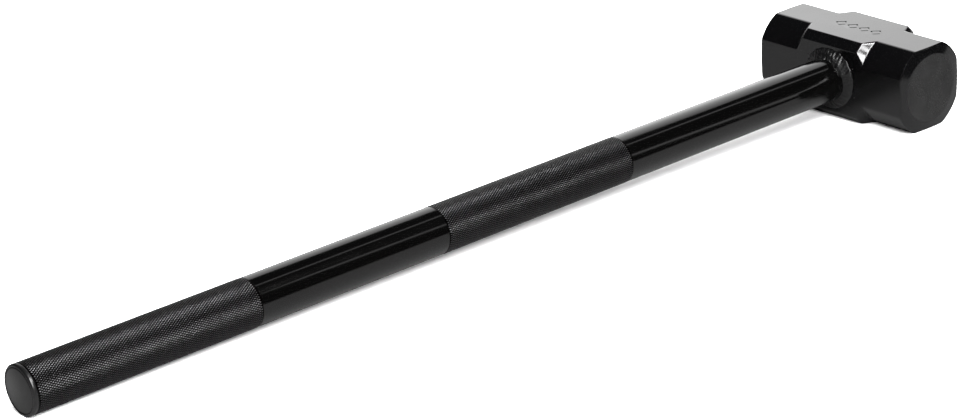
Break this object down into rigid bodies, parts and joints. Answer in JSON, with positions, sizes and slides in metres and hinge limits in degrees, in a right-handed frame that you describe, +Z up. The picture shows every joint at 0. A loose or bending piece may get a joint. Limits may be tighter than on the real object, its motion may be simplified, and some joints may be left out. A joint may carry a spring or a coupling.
{
  "type": "sledgehammer",
  "caption": "Double-faced steel sledgehammer: square head with turned striking ends, welded to a steel tube handle with knurled grips and a capped butt.",
  "frame": {"origin": "centre of the bounding box's base, midway along the hammer, level with the head's underside", "axes": "+Y along the handle from the butt cap to the head, +Z up out of the head's top flat, X along the head from one striking face to the other"},
  "size_m": [0.168, 0.922, 0.075],
  "materials": {
    "head_enamel": "satin black enamel on steel",
    "handle_enamel": "gloss black enamel, satin on the knurled grips",
    "cap_enamel": "satin dark grey",
    "weld_enamel": "satin black over a rippled bead",
    "back_weld_enamel": "satin black, dressed flush",
    "plug_enamel": "satin black enamel on steel"
  },
  "bodies": {
    "root": {"head": "head_enamel", "handle_tube": "handle_enamel", "end_cap": "cap_enamel", "neck_weld": "weld_enamel", "back_weld": "back_weld_enamel", "eye_plug": "plug_enamel"}
  },
  "joints": []
}
